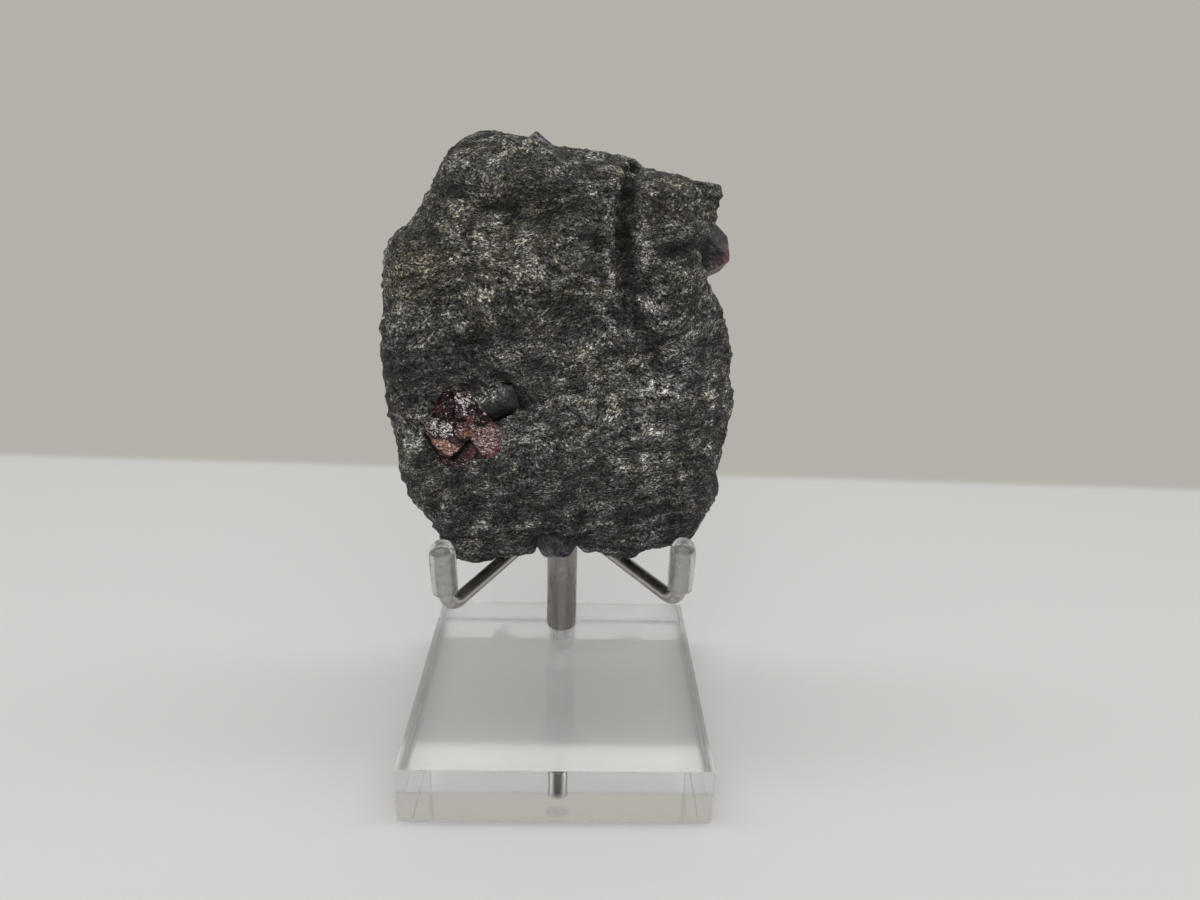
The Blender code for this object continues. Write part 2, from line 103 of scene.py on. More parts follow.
def blob(x, z, spot):
    # 1 at the middle of an oval spot, fading to 0 outside it
    cx, cz, wide, high, turn = spot
    across, rise = math.cos(math.radians(turn)), math.sin(math.radians(turn))
    u = ((x - cx) * across + (z - cz) * rise) / wide
    v = ((z - cz) * across - (x - cx) * rise) / high
    return math.exp(-(u * u + v * v))


# a shader socket that can be written in formulas
class Value:
    def __init__(self, finish, socket):
        self.finish = finish
        self.socket = socket

    def out(self, name):
        return Value(self.finish, self.socket.node.outputs[name])

    def maths(self, operation, first, second):
        return self.finish.add("ShaderNodeMath", {"operation": operation}, {0: first, 1: second})

    def __add__(self, other):
        return self.maths("ADD", self, other)

    def __radd__(self, other):
        return self.maths("ADD", other, self)

    def __sub__(self, other):
        return self.maths("SUBTRACT", self, other)

    def __rsub__(self, other):
        return self.maths("SUBTRACT", other, self)

    def __mul__(self, other):
        return self.maths("MULTIPLY", self, other)

    def __rmul__(self, other):
        return self.maths("MULTIPLY", other, self)


# a material and the nodes that feed its shader
class Finish:
    def __init__(self, name):
        self.material = bpy.data.materials.new(name)
        self.material.use_nodes = True
        self.tree = self.material.node_tree
        self.shader = self.tree.nodes["Principled BSDF"]

    def plug(self, socket, value):
        if isinstance(value, Value):
            self.tree.links.new(value.socket, socket)
        else:
            socket.default_value = value

    def add(self, kind, settings=None, sockets=None, output=0):
        node = self.tree.nodes.new(kind)
        for name, value in (settings or {}).items():
            setattr(node, name, value)
        for name, value in (sockets or {}).items():
            self.plug(node.inputs[name], value)
        return Value(self, node.outputs[output])

    def set(self, **sockets):
        # Base_Color=... sets or links the shader's own Base Color
        for name, value in sockets.items():
            self.plug(self.shader.inputs[name.replace("_", " ")], value)

    def mixIn(self, amount, colour):
        # some plain matt colour over the shader
        matt = self.add("ShaderNodeBsdfDiffuse", None, {"Color": (*colour, 1.0)})
        own = Value(self, self.shader.outputs[0])
        both = self.add("ShaderNodeMixShader", None, {0: amount, 1: own, 2: matt})
        self.tree.links.new(both.socket, self.tree.nodes["Material Output"].inputs["Surface"])

    def vector(self, operation, first, second=(0, 0, 0), third=(0, 0, 0), output="Vector"):
        sockets = {0: first, 1: second, 2: third}
        return self.add("ShaderNodeVectorMath", {"operation": operation}, sockets, output)

    def scaled(self, vector, scale):
        return self.add("ShaderNodeVectorMath", {"operation": "SCALE"}, {"Vector": vector, "Scale": scale})

    def lit(self, colour, level):
        # lighter above level 0, darker below it, and never black
        return self.scaled(colour, self.add("ShaderNodeMath", {"operation": "EXPONENT"}, {0: level}))

    def place(self):
        # object coordinates in millimetres
        return self.scaled(self.add("ShaderNodeTexCoord", output="Object"), 1 / mm)

    def stretch(self, at, scale, turn=(0, 0, 0)):
        # scale along turned axes; a mapping of the texture kind divides by its scale
        axes = [math.radians(angle) for angle in turn]
        sockets = {"Vector": at, "Scale": [1 / part for part in scale], "Rotation": axes}
        return self.add("ShaderNodeMapping", {"vector_type": "TEXTURE"}, sockets)

    def noise(self, at, size, detail=3.0, rough=0.55, warp=0.0, output=0):
        sockets = {"Vector": at, "Scale": 1 / size, "Detail": detail, "Roughness": rough, "Distortion": warp}
        return self.add("ShaderNodeTexNoise", None, sockets, output)

    def cells(self, at, size):
        return self.add("ShaderNodeTexVoronoi", None, {"Vector": at, "Scale": 1 / size})

    def between(self, value, low, high):
        return self.add("ShaderNodeMapRange", {"interpolation_type": "SMOOTHSTEP"}, {
            "Value": value, "From Min": low, "From Max": high})

    def blend(self, amount, first, second, kind="MIX"):
        mix = self.add("ShaderNodeMix", {"data_type": "RGBA", "blend_type": kind}, {0: amount}, 2)
        node = mix.socket.node
        for slot, value in ((6, first), (7, second)):
            self.plug(node.inputs[slot], value if isinstance(value, Value) else (*value, 1.0))
        return mix

    def attribute(self, name, output="Fac"):
        return self.add("ShaderNodeAttribute", {"attribute_name": name}, None, output)

    def part(self, vector, axis):
        return self.add("ShaderNodeSeparateXYZ", None, {0: vector}, axis)

    def bump(self, height, depth, normal=None):
        # depth in millimetres for a height of 1
        sockets = {"Height": height, "Distance": depth * mm, "Strength": 1.0}
        if normal is not None:
            sockets["Normal"] = normal
        return self.add("ShaderNodeBump", None, sockets)


camera = {
    "place": (2.769, -164.757, 131.067),     # mm
    "down": 20.747, "right": 1.780, "roll": 1.715,       # degrees
    "lens": 25.26, "sensor": 36,     # mm
    "near": 0.005, "far": 10,        # m
}

studio = {
    "wall": (0.460, 0.438, 0.404),
    "table": (0.795, 0.800, 0.820), "tableSpots": (0.74, 0.74, 0.75),
    "tableSize": 1600, "tableGap": 0.05,     # mm across, and mm below the block
    "tableBack": 155.8, "tableFade": 5.0,    # mm behind the block's middle
    "tableTurn": -1.66,      # degrees
    "tableReach": (420.0, 760.0),    # mm out, where it fades into the wall
    # under the block: painted light, a paler floor that makes up the light that clear pieces lose, and a
    # painted glowing band where the block's front gathers light
    "pale": (0.965, 0.970, 0.990),
    "paintedLightEdge": (30.0, 31.5),        # mm out from the middle
    "paintedGlow": (0.195, 0.195, 0.190),
    "paintedGlowStart": (-27.0, -25.5), "paintedGlowEnd": (-18.8, -14.4),      # mm along Y
    "lamps": {
        # place and target in mm, size in mm, power in watts, colour
        "ceiling": ((0, 17, 640), (0, 0, 0), (900, 90), 0.90, (1.0, 0.995, 0.985)),
        "frontPanel": ((20, -440, 420), (0, -10, 20), (520, 260), 0.66, (1.0, 0.995, 0.985)),
        "leftStrip": ((-400, 30, 430), (0, 5, 40), (90, 420), 0.22, (1.0, 0.99, 0.97)),
        "rightStrip": ((420, 40, 430), (0, 5, 40), (90, 420), 0.22, (1.0, 0.99, 0.97)),
        "garnetSpot": ((-70, -330, 400), (-18, -10, 75), (30, 30), 0.07, (1.0, 0.98, 0.95)),
    },
}


def makeCamera():
    data = bpy.data.cameras.new("camera")
    data.sensor_width = camera["sensor"]
    data.lens = camera["lens"]
    data.clip_start = camera["near"]
    data.clip_end = camera["far"]
    item = bpy.data.objects.new("camera", data)
    bpy.context.collection.objects.link(item)
    turn = Matrix.Rotation(math.radians(-camera["right"]), 4, "Z")
    turn = turn @ Matrix.Rotation(math.radians(90 - camera["down"]), 4, "X")
    turn = turn @ Matrix.Rotation(math.radians(camera["roll"]), 4, "Z")
    item.matrix_world = Matrix.Translation(Vector(camera["place"]) * mm) @ turn
    bpy.context.scene.camera = item


def makeLights():
    world = bpy.data.worlds.new("room")
    world.use_nodes = True
    world.node_tree.nodes["Background"].inputs["Color"].default_value = (*studio["wall"], 1)
    bpy.context.scene.world = world
    bpy.context.scene.view_settings.view_transform = "Standard"
    for name, (place, target, size, power, colour) in studio["lamps"].items():
        lamp = bpy.data.lights.new(name, "AREA")
        lamp.shape = "RECTANGLE"
        lamp.size = size[0] * mm
        lamp.size_y = size[1] * mm
        lamp.energy = power
        lamp.color = colour
        item = bpy.data.objects.new(name, lamp)
        bpy.context.collection.objects.link(item)
        aim = (Vector(target) - Vector(place)).to_track_quat("-Z", "Y")
        item.matrix_world = Matrix.Translation(Vector(place) * mm) @ aim.to_matrix().to_4x4()


def tableFinish():
    finish = Finish("table paper")
    at = finish.place()
    mottle = finish.noise(at, 90.0, 2.0)
    fibre = finish.noise(at, 0.5, 4.0)
    colour = finish.blend(mottle * 0.12, studio["table"], studio["tableSpots"])
    # painted light: the floor under the block is paler than the rest of the table
    out = finish.vector("ABSOLUTE", at)
    under = 1 - finish.between(finish.part(out, "X"), *studio["paintedLightEdge"])
    under = under * (1 - finish.between(finish.part(out, "Y"), *studio["paintedLightEdge"]))
    colour = finish.blend(under, colour, studio["pale"])
    # painted light: a glowing band on the floor under the block's front
    along = finish.part(at, "Y")
    band = finish.between(along, *studio["paintedGlowStart"]) * (1 - finish.between(along, *studio["paintedGlowEnd"]))
    paintedGlow = finish.blend(under * band, (0.0, 0.0, 0.0), studio["paintedGlow"])
    depth = finish.part(finish.stretch(at, (1, 1, 1), (0, 0, studio["tableTurn"])), "Y")
    back, fade = studio["tableBack"], studio["tableFade"]
    reach = finish.vector("LENGTH", at, output="Value")
    shown = 1 - finish.between(depth, back - fade, back + fade)
    shown = shown * (1 - finish.between(reach, *studio["tableReach"]))
    finish.set(Base_Color=colour, Roughness=0.9, Alpha=shown, Normal=finish.bump(fibre, 0.03),
               Emission_Color=paintedGlow, Emission_Strength=1.0, Specular_IOR_Level=0.1)
    return finish.material


def makeTable():
    bpy.ops.mesh.primitive_plane_add(size=studio["tableSize"] * mm, location=(0, 0, -studio["tableGap"] * mm))
    table = bpy.context.active_object
    table.name = "table"
    table.data.materials.append(tableFinish())


makeCamera()
makeLights()
makeTable()
print("camera, light and table made")


schist = {
    "voxel": 0.48,           # mm between points of the stone's mesh
    "even": 4,               # smoothing passes over the frame's facets
    "rise": 0.10,            # the layers climb to the right
    "sway": (13, 1.3), "smallSway": (4.2, 0.4),      # length and height of the layers' bends, mm
    # length, thickness and height in mm
    "lens": (5.5, 1.35, 0.20), "fineLens": (2.2, 0.8, 0.15),
    "ledge": (16.0, 3.4, 0.38), "crumb": (1.7, 1.2, 0.30),
    "teeth": (4.2, 2.2, 0.29),       # only where the stone turns away to the side
    "grit": (0.9, 0.10),     # size and height, mm
    "zone": (15, 11),        # mm along and across, where ledges give way to crumbs
    "jitter": (1.7, 0.7), "wander": (4.5, 2.0),      # size and reach of the unevenness of drawn lines, mm
    "seatReach": 2.0, "seatCalm": (0.25, 1.8),       # mm from a garnet, where the rock is smooth
    "seatPull": 0.30, "seatFade": (0.5, 1.6),        # how far the rock closes up against it
    "grey": (0.0588, 0.0588, 0.0580), "olive": (0.0730, 0.0610, 0.0400),
    "rusty": (0.0715, 0.0610, 0.0430), "cool": (0.0530, 0.0590, 0.0640),
    "slope": -5.7,           # degrees, the layers' slant in the finish
}

# ridges (+) and grooves (-) on the front: points (x, z), half width, height in mm
frontLines = {
    "grooveLip": ([(10.6, 125.5), (9.4, 122.5), (9.0, 119.5), (8.0, 116.2), (7.6, 112.0), (7.9, 108.0),
                   (8.9, 103.6), (10.8, 99.8), (12.6, 95.0)], 0.7, 0.65),
    "grooveFloor": ([(11.6, 125.2), (11.3, 121.0), (10.6, 116.5), (10.2, 112.0), (10.6, 107.5),
                     (11.8, 103.8), (13.6, 99.5), (15.6, 95.2), (17.2, 91.0)], 1.2, -0.60),
    "topLip": ([(-13.6, 115.9), (-9.0, 116.2), (-5.6, 117.3), (-1.0, 119.3), (2.2, 119.9)], 0.6, 0.35),
    "topHollow": ([(-13.0, 117.6), (-8.3, 118.2), (-3.5, 119.4), (1.0, 121.2)], 1.5, -0.45),
    "rightRib": ([(13.6, 112.6), (14.6, 110.4), (15.2, 108.2)], 0.9, 0.6),
    "knobRidge": ([(11.4, 102.6), (13.8, 101.4), (16.6, 99.7)], 0.9, 0.6),
    "undercut": ([(19.8, 110.6), (22.0, 111.0), (24.6, 111.7)], 0.6, -0.8),
    "undercutLip": ([(19.0, 112.4), (21.5, 112.6), (24.8, 113.3)], 0.7, 0.4),
    "slantA": ([(6.6, 100.6), (8.0, 98.4), (9.6, 95.8)], 0.7, 0.7),
    "slantB": ([(15.0, 89.4), (17.0, 86.6), (20.0, 84.2), (25.2, 82.4)], 0.8, 0.6),
    "crack": ([(-8.2, 81.0), (-5.2, 81.9), (-3.0, 82.4), (0.6, 84.2), (3.4, 85.2)], 0.4, -0.6),
    "topCavity": ([(10.4, 126.2), (12.0, 125.0), (13.4, 124.3)], 0.9, -1.2),
    "bellyFold": ([(-24.0, 93.4), (-17.0, 92.6), (-9.0, 93.8)], 1.0, -0.5),
    "ledgeA": ([(-22.0, 55.0), (-14.0, 56.2), (-6.0, 57.0), (4.0, 56.4)], 0.7, 0.6),
    "ledgeB": ([(-20.0, 52.0), (-12.0, 53.4), (-4.0, 54.0)], 0.7, 0.5),
}

# rock that creeps over a garnet's edge, drawn the same way
rimLines = [
    ([(-16.8, 82.2), (-15.9, 84.0), (-14.6, 85.6)], 0.9, 1.2),
    ([(-8.3, 81.6), (-8.0, 80.0)], 0.6, 0.4),
    ([(-12.9, 86.3), (-10.9, 85.6), (-9.0, 84.2), (-7.9, 82.2), (-7.5, 80.6)], 0.55, -0.8),
    ([(-26.2, 73.6), (-24.6, 71.0), (-22.0, 69.0), (-18.6, 68.3)], 0.9, -0.9),
    ([(-12.0, 74.6), (-12.2, 72.6), (-13.4, 70.6), (-15.6, 69.2)], 0.9, -1.0),
]

# light and dark areas of the front, partly the rock's own tone and partly painted shade in the groove,
# undercut, hollow, cavity and crevice and towards the bottom: x, z, half width, half height, turn, tone
frontTonesAndShading = [
    (-17, 112.4, 5, 2.2, -30, 0.30), (-14, 110.8, 9, 3.2, 8, 0.35), (-28.5, 97.2, 5.5, 4, -25, 0.50),
    (4, 82.5, 7, 4, 10, 0.40), (14, 78, 11, 9, -40, 0.34), (18.5, 71, 5, 4, 0, 0.30),
    (-9, 75.4, 4.2, 2.2, 8, 0.60), (-29.6, 74.2, 3, 4.6, 0, 0.62), (-28, 104, 6, 5, 0, 0.25),
    # the first spot is painted shade in the top hollow
    (-8.5, 116.8, 8, 2, 6, -0.45), (-5, 99, 9, 4, 0, -0.30), (-27.5, 88, 9, 5.5, 0, -0.45),
    # painted shade along the groove and under the undercut
    (11.4, 112, 1.5, 10, -2, -0.95), (12.6, 100, 1.6, 5.5, -20, -0.80), (21, 110.8, 5, 1.4, 6, -0.80),
    # lighter on the rib and the knob's ridge, then painted shade in the top cavity
    (14.6, 110.2, 1.6, 3, 10, 0.60), (14, 101.2, 3.6, 1.6, -28, 0.60), (12, 125, 2.2, 1.6, -20, -0.70),
    # darker towards the bottom; the lowest band is painted shade where the stone turns down
    (0, 62, 26, 4.5, 2, -0.25), (-12, 66, 12, 4, 6, -0.35), (0, 53, 30, 4, 0, -0.40),
    # the last spot is painted shade in the crevice beside the small garnet
    (26, 64, 8, 8, 0, -0.20), (-5, 106, 10, 3.5, 8, 0.22), (-8.7, 83.7, 2.5, 0.9, -50, -2.2),
    (1, 121.5, 7, 3, 0, 0.15), (20.5, 85.5, 5, 2.5, -30, 0.30), (-14.5, 88.8, 5, 2.2, 20, 0.30),
]

# brown and olive stains: x, z, half width, half height, turn, strength
frontStains = [
    (-28, 104.6, 6, 5, 0, 0.85), (-12, 118, 20, 10, 0, 0.40), (-10, 103, 14, 8, 0, 0.35),
    (18, 116.5, 9, 7, 0, 0.35), (24.4, 72.4, 1.3, 0.9, 0, 0.9), (-29, 78, 4, 2, 0, 0.5),
    (24, 102, 5, 6, 0, 0.30), (8, 88, 8, 5, 0, 0.20),
]


def lineHeight(x, z, line):
    # the height of a drawn line at a point, fading out on both its sides
    points, width, height = line
    nearest = 1e9
    for (x0, z0), (x1, z1) in zip(points, points[1:]):
        dx, dz = x1 - x0, z1 - z0
        share = min(max(((x - x0) * dx + (z - z0) * dz) / (dx * dx + dz * dz), 0.0), 1.0)
        nearest = min(nearest, math.hypot(x - x0 - share * dx, z - z0 - share * dz))
    return height * math.exp(-(nearest / width) ** 2) if nearest < 3 * width else 0.0


def wave(x, y, z, sizes):
    # sharp crests with wide hollows between them
    long, thick, height = sizes
    return height * (1 - 2.6 * abs(noise.noise(Vector((x / long, y / long, z / thick)))))


def layerHeight(x, y, z):
    # how far along the layers' own axis a point is
    size, height = schist["sway"]
    flat = z - schist["rise"] * x + height * noise.noise(Vector((x / size, y / size, z / size)))
    size, height = schist["smallSway"]
    return flat + height * noise.noise(Vector((x / size, y / size, z / size + 9)))


def rockRelief(x, y, z, flat, zone):
    lens = wave(x, y, flat, schist["lens"]) + wave(x + 7, y, flat, schist["fineLens"])
    long, thick, height = schist["ledge"]
    turn = flat / thick + 1.5 * noise.noise(Vector((x / long, y / long, flat / 9)))
    ledge = height * (turn % 1.0 - 0.5) * smoothStep(zone, -0.25, 0.35)
    long, thick, height = schist["crumb"]
    crumb = height * noise.noise(Vector((x / long, y / long, z / thick)))
    crumb *= 1.2 - smoothStep(zone, -0.3, 0.3)
    size, height = schist["grit"]
    return lens + ledge + crumb + height * noise.noise(Vector((x, y, z)) / size)


def makeSchistSlab():
    slab = copyNode("matrix", "schist_slab")
    evenOut(slab, schist)
    mesh = slab.data
    seats = [BVHTree.FromObject(nodes[name], bpy.context.evaluated_depsgraph_get())
             for name in nodes if name.startswith("garnet")]
    normals = [vertex.normal.copy() for vertex in mesh.vertices]
    tonesAndShading, stains = [], []
    for vertex, normal in zip(mesh.vertices, normals):
        x, y, z = at = vertex.co / mm
        front = smoothStep(-normal.y, 0.1, 0.6)
        flat = layerHeight(x, y, z)
        along, across = schist["zone"]
        zone = noise.noise(Vector((x / along + 3, y / along, z / across)))
        relief = rockRelief(x, y, z, flat, zone)
        drawn = shade = rust = 0.0
        if front > 0:
            size, reach = schist["jitter"]
            stray = noise.noise_vector(at / size) * reach
            drawn = sum(lineHeight(x + stray.x, z + stray.z, line) for line in frontLines.values()) * front
            size, reach = schist["wander"]
            stray = stray * 2 + noise.noise_vector(at / size) * reach
            px, pz = x + stray.x, z + stray.z
            shade = sum(toneAndShading * blob(px, pz, spot) for *spot, toneAndShading in frontTonesAndShading) * front
            rust = sum(strength * blob(px, pz, spot) for *spot, strength in frontStains) * front
        sideways = 1 - smoothStep(abs(normal.y), 0.25, 0.75)
        move = relief + drawn + wave(x + 3, y, flat, schist["teeth"]) * sideways
        near = math.inf
        for seat in seats:
            hit, _, _, distance = seat.find_nearest(vertex.co, schist["seatReach"] * mm)
            if hit is not None and distance / mm < near:
                near = distance / mm
                toward = (hit - vertex.co) / mm
        calm = smoothStep(near, *schist["seatCalm"])
        rim = sum(lineHeight(x, z, line) for line in rimLines) * front
        vertex.co += normal * ((move * calm + rim) * mm)
        if near < schist["seatReach"]:
            pull = min(schist["seatPull"], near) * (1 - smoothStep(near, *schist["seatFade"]))
            vertex.co += toward.normalized() * (pull * mm)
        # tone also takes painted shade and light from the relief: darker in its hollows and drawn grooves,
        # lighter on its rises and ridges
        tonesAndShading.append(shade + 1.5 * (relief - 0.02) + 0.85 * drawn)
        stains.append(rust + 0.5 * smoothStep(zone, 0.1, 0.6) * (1 - front))
    writeNumbers(mesh, "toneAndShading", tonesAndShading)
    writeNumbers(mesh, "stain", stains)
    return slab


def schistFinish():
    finish = Finish("schist")
    at = finish.place()
    toneAndShading = finish.attribute("toneAndShading")
    stain = finish.attribute("stain")
    # the layers wander up and down
    drift = finish.vector("MULTIPLY_ADD", finish.noise(at, 15, 1.0, 0.5, output=1), (3.0, 3.0, 9.0), at)
    slant = (0, schist["slope"], 0)
    layered = finish.stretch(drift, (0.50, 0.50, 1.0), slant)
    hair = finish.noise(layered, 0.36, 4.0, 0.75, 0.2)
    band = finish.noise(layered, 1.7, 4.0, 0.65, 0.3)
    grain = finish.noise(at, 0.22, 2.0, 0.6)
    cloud = finish.noise(drift, 4.5, 3.0)
    squeezed = finish.stretch(drift, (0.8, 0.8, 1.15), slant)
    flakes = finish.cells(squeezed, 0.29)
    draw = finish.add("ShaderNodeSeparateColor", None, {0: flakes.out("Color")}, 0)
    hue = draw.out("Green")
    # pale and dark grains, which gather in the pale and dark layers
    pale = draw + (hair - 0.5) * 1.6 + (band - 0.5) * 0.8 + (cloud - 0.5) * 0.9 + toneAndShading * 0.35
    salt = finish.between(pale, 0.87, 1.13)
    pepper = finish.between(draw + (hair - 0.5) * 1.6 + (band - 0.5) * 1.0, 0.26, 0.10)
    # thin pale seams along the layers
    fold = finish.noise(finish.stretch(drift, (0.24, 0.24, 1.0), slant), 2.4, 2.5, 0.5)
    seam = finish.between(fold, 0.482, 0.5) - finish.between(fold, 0.5, 0.518)
    level = (hair - 0.5) * 3.4 + (grain - 0.5) * 3.4 + (band - 0.5) * 3.2 + (cloud - 0.5) * 3.4
    # tone, here and in the pale grains, brings in the painted shade and light carried by the mesh
    level = level * 1.05 + (draw - 0.5) * 1.9 + toneAndShading * 1.1 + salt * 0.5 - pepper * 1.3 + seam * 0.55 - 0.06
    # grey rock with olive patches, rusty grains and cool grains
    olive = finish.between(finish.noise(layered, 2.6, 3.0, 0.6), 0.50, 0.66)
    tint = finish.blend(stain * 0.6 + olive * 0.35, schist["grey"], schist["olive"])
    tint = finish.blend(finish.between(hue, 0.74, 0.90) * 0.6, tint, schist["rusty"])
    tint = finish.blend(finish.between(hue, 0.26, 0.10) * 0.6, tint, schist["cool"])
    # mica: each cell is its own little tilted plate
    offset = finish.vector("SUBTRACT", squeezed, flakes.out("Position"))
    lean = finish.vector("SUBTRACT", flakes.out("Color"), (0.5, 0.5, 0.5))
    plate = finish.vector("DOT_PRODUCT", offset, lean, output="Value")
    mica = finish.between(hue, 0.93, 0.96)
    rough = 0.62 - mica * 0.40 + (1 - salt) * 0.12
    uneven = finish.bump(plate, 1.0, finish.bump(grain, 0.26, finish.bump(hair, 0.40)))
    finish.set(Base_Color=finish.lit(tint, level), Roughness=rough, Normal=uneven, Specular_IOR_Level=0.32)
    return finish.material


settle(makeSchistSlab(), "matrix", schistFinish(), 60)
print("schist made")


brokenGarnet = {
    "voxel": 0.17, "even": 2,        # mm between its points, smoothing passes
    "middle": (-19.6, -7.0, 75.5), "grow": (1.0, 1.0, 1.13), "shift": (0.2, -0.5, 0.6),
    "chip": (2.6, 0.48),     # size and tilt of the broken chips, mm
    "ripple": (0.8, 0.14), "pit": (0.4, 0.07),       # size and height, mm
    "jitter": 0.5,           # how uneven the edges of the drawn chips are
    "swell": ((-13.6, 72.2, 2.4, 2.4, 0), 1.2),      # where its lower right stands out, and mm
    "stone": (0.045, 0.014, 0.016), "dark": (0.008, 0.004, 0.005),
    "paintedGapShade": (0.004, 0.003, 0.003), "ridgeColour": (0.30, 0.17, 0.17),
    # the splinters' colour, and the white of the painted highlights
    "splinter": (0.55, 0.42, 0.40), "paintedHighlight": (0.92, 0.86, 0.88),
    # x, z, half width, half height, turn, painted highlight, grain, colour
    "paint": [
        (-22.9, 80.9, 3.6, 2.6, 20, 0.30, 0.0, (0.018, 0.003, 0.005)),
        (-24.2, 80.0, 1.3, 0.7, 30, 0.25, 0.5, (0.075, 0.012, 0.016)),
        (-18.3, 81.9, 2.9, 2.2, -10, 1.0, 0.2, (0.020, 0.011, 0.014)),
        (-17.6, 83.5, 1.6, 0.7, 0, 0.8, 0.8, (0.150, 0.070, 0.080)),
        (-15.9, 80.0, 2.2, 2.3, 20, 0.50, 0.0, (0.012, 0.003, 0.005)),
        (-14.6, 80.4, 0.9, 0.5, 60, 0.9, 0.3, (0.240, 0.050, 0.060)),
        (-17.4, 79.0, 1.0, 0.5, -20, 0.5, 0.5, (0.130, 0.014, 0.020)),
        (-23.4, 76.9, 3.6, 1.9, 4, 1.0, 0.5, (0.034, 0.017, 0.018)),
        (-18.2, 77.0, 2.4, 1.5, 0, 0.55, 1.0, (0.085, 0.026, 0.019)),
        (-17.4, 76.4, 1.3, 0.6, 10, 0.2, 0.6, (0.280, 0.125, 0.085)),
        (-22.1, 73.3, 3.0, 1.4, -12, 0.60, 1.0, (0.360, 0.180, 0.135)),
        (-14.6, 74.8, 2.9, 3.1, 0, 0.70, 1.0, (0.250, 0.145, 0.142)),
        (-13.2, 71.6, 2.0, 1.4, 45, 0.45, 1.0, (0.250, 0.062, 0.085)),
        (-17.1, 71.8, 1.3, 1.5, 0, 0.2, 0.6, (0.090, 0.016, 0.022)),
        (-19.4, 69.4, 4.0, 1.3, 0, 0.45, 0.6, (0.040, 0.014, 0.017)),
    ],
    # gaps between the chips, cut in and coloured near black as painted shade: points (x, z), half width,
    # height in mm
    "gaps": [
        ([(-21.4, 70.2), (-19.4, 72.4), (-17.5, 74.5)], 0.42, -0.9),
        ([(-26.2, 74.6), (-25.3, 72.6), (-23.6, 70.9), (-21.2, 69.9)], 0.32, -0.4),
        ([(-21.0, 83.6), (-20.6, 81.4), (-20.8, 79.0)], 0.24, -0.35),
        ([(-20.8, 79.0), (-18.6, 78.7), (-17.6, 78.2)], 0.20, -0.3),
        ([(-26.2, 78.6), (-23.4, 78.7), (-20.8, 78.6)], 0.22, -0.3),
        ([(-20.2, 78.4), (-20.4, 76.2), (-19.3, 74.6), (-17.7, 74.0)], 0.20, -0.3),
        ([(-16.0, 77.7), (-14.2, 77.6), (-13.0, 77.9)], 0.20, -0.25),
        ([(-17.6, 74.0), (-16.6, 73.2), (-16.3, 70.6)], 0.20, -0.25),
        ([(-25.4, 74.9), (-23.2, 75.2), (-20.6, 74.6)], 0.18, -0.2),
    ],
    # thin pale ridges, the same way
    "ridges": [([(-15.0, 82.6), (-14.2, 80.8), (-13.6, 79.2)], 0.26, 0.5)],
}

coated = {
    "voxel": 0.22, "even": 2,
    "wave": (2.2, 0.12), "pit": (0.9, 0.05),         # size and height, mm
    "crumbs": (0.10, 0.098, 0.095),
}

# each coated crystal: its node, how far its edges are worn in mm, its size and its shift against the node,
# its colour, and spots of other colours as x, y, z, radius, strength, rock film, colour; some spots are
# painted light and painted shade on facets and crevices
coatedGarnets = {
    "small_garnet": ("garnet_front_small", 0.22, 1.07, (0.1, 1.1, -0.5), (0.010, 0.011, 0.013), [
        (-15.2, -10.5, 83.4, 2.5, 1.0, 1.0, (0.038, 0.038, 0.035)),
        (-13.6, -10.5, 85.6, 1.9, 1.0, 1.0, (0.036, 0.036, 0.033)),
        # painted highlight on the upper facet
        (-11.6, -10.2, 83.4, 1.5, 1.0, 0.25, (0.085, 0.090, 0.100)),
        # painted shade in the crevice at the upper right
        (-9.0, -11, 82.4, 1.2, 0.9, 0.0, (0.004, 0.004, 0.005)),
        # painted shade on the lower facet
        (-11.6, -10.0, 80.0, 2.0, 1.0, 0.1, (0.003, 0.003, 0.004))]),
    "right_garnet": ("garnet_right", 0.28, 1.0, (0.4, -0.2, 0), (0.032, 0.028, 0.034), [
        # painted shade on the left face
        (24.9, 6.0, 108.4, 3.4, 1.0, 0.0, (0.009, 0.008, 0.010)),
        (32.8, 6.5, 107.2, 2.1, 0.9, 0.0, (0.240, 0.085, 0.105)),
        # painted light on the top
        (28.0, 8.0, 115.0, 2.4, 0.8, 0.2, (0.058, 0.052, 0.060)),
        (30.4, 6.0, 103.6, 2.6, 0.9, 0.4, (0.105, 0.100, 0.097))]),
    "top_garnet": ("garnet_top", 0.25, 1.10, (-0.9, -0.3, 0.2), (0.082, 0.073, 0.084), []),
    "bottom_garnet": ("garnet_bottom", 1.1, 1.06, (0, 0, 0.5), (0.029, 0.031, 0.038), [
        (-2.5, -7.0, 48.0, 2.2, 0.5, 0.3, (0.100, 0.104, 0.116))]),
    "left_garnet": ("garnet_left", 0.30, 1.0, (0, 0, 0), (0.060, 0.060, 0.062), []),
}


def writeColours(mesh, name, colours):
    layer = mesh.color_attributes.new(name=name, type="FLOAT_COLOR", domain="POINT")
    layer.data.foreach_set("color", [part for colour in colours for part in (*colour, 1.0)])


def mixed(under, over, share):
    return tuple(a + (b - a) * share for a, b in zip(under, over))


def chipHeight(x, y, z, kind):
    # flat tilted chips, one to each cell
    size, tilt = kind
    place = Vector((x, y, z)) / size
    distances, centres = noise.voronoi(place)
    heights = []
    for centre in centres[:2]:
        lean = noise.cell_vector(centre * 5.3) * 2 - Vector((1, 1, 1))
        heights.append((place - centre).dot(lean) + 0.35 * lean.x)
    near = 0.5 + 0.5 * smoothStep(distances[1] - distances[0], 0.0, 0.12)
    return tilt * (heights[0] * near + heights[1] * (1 - near))


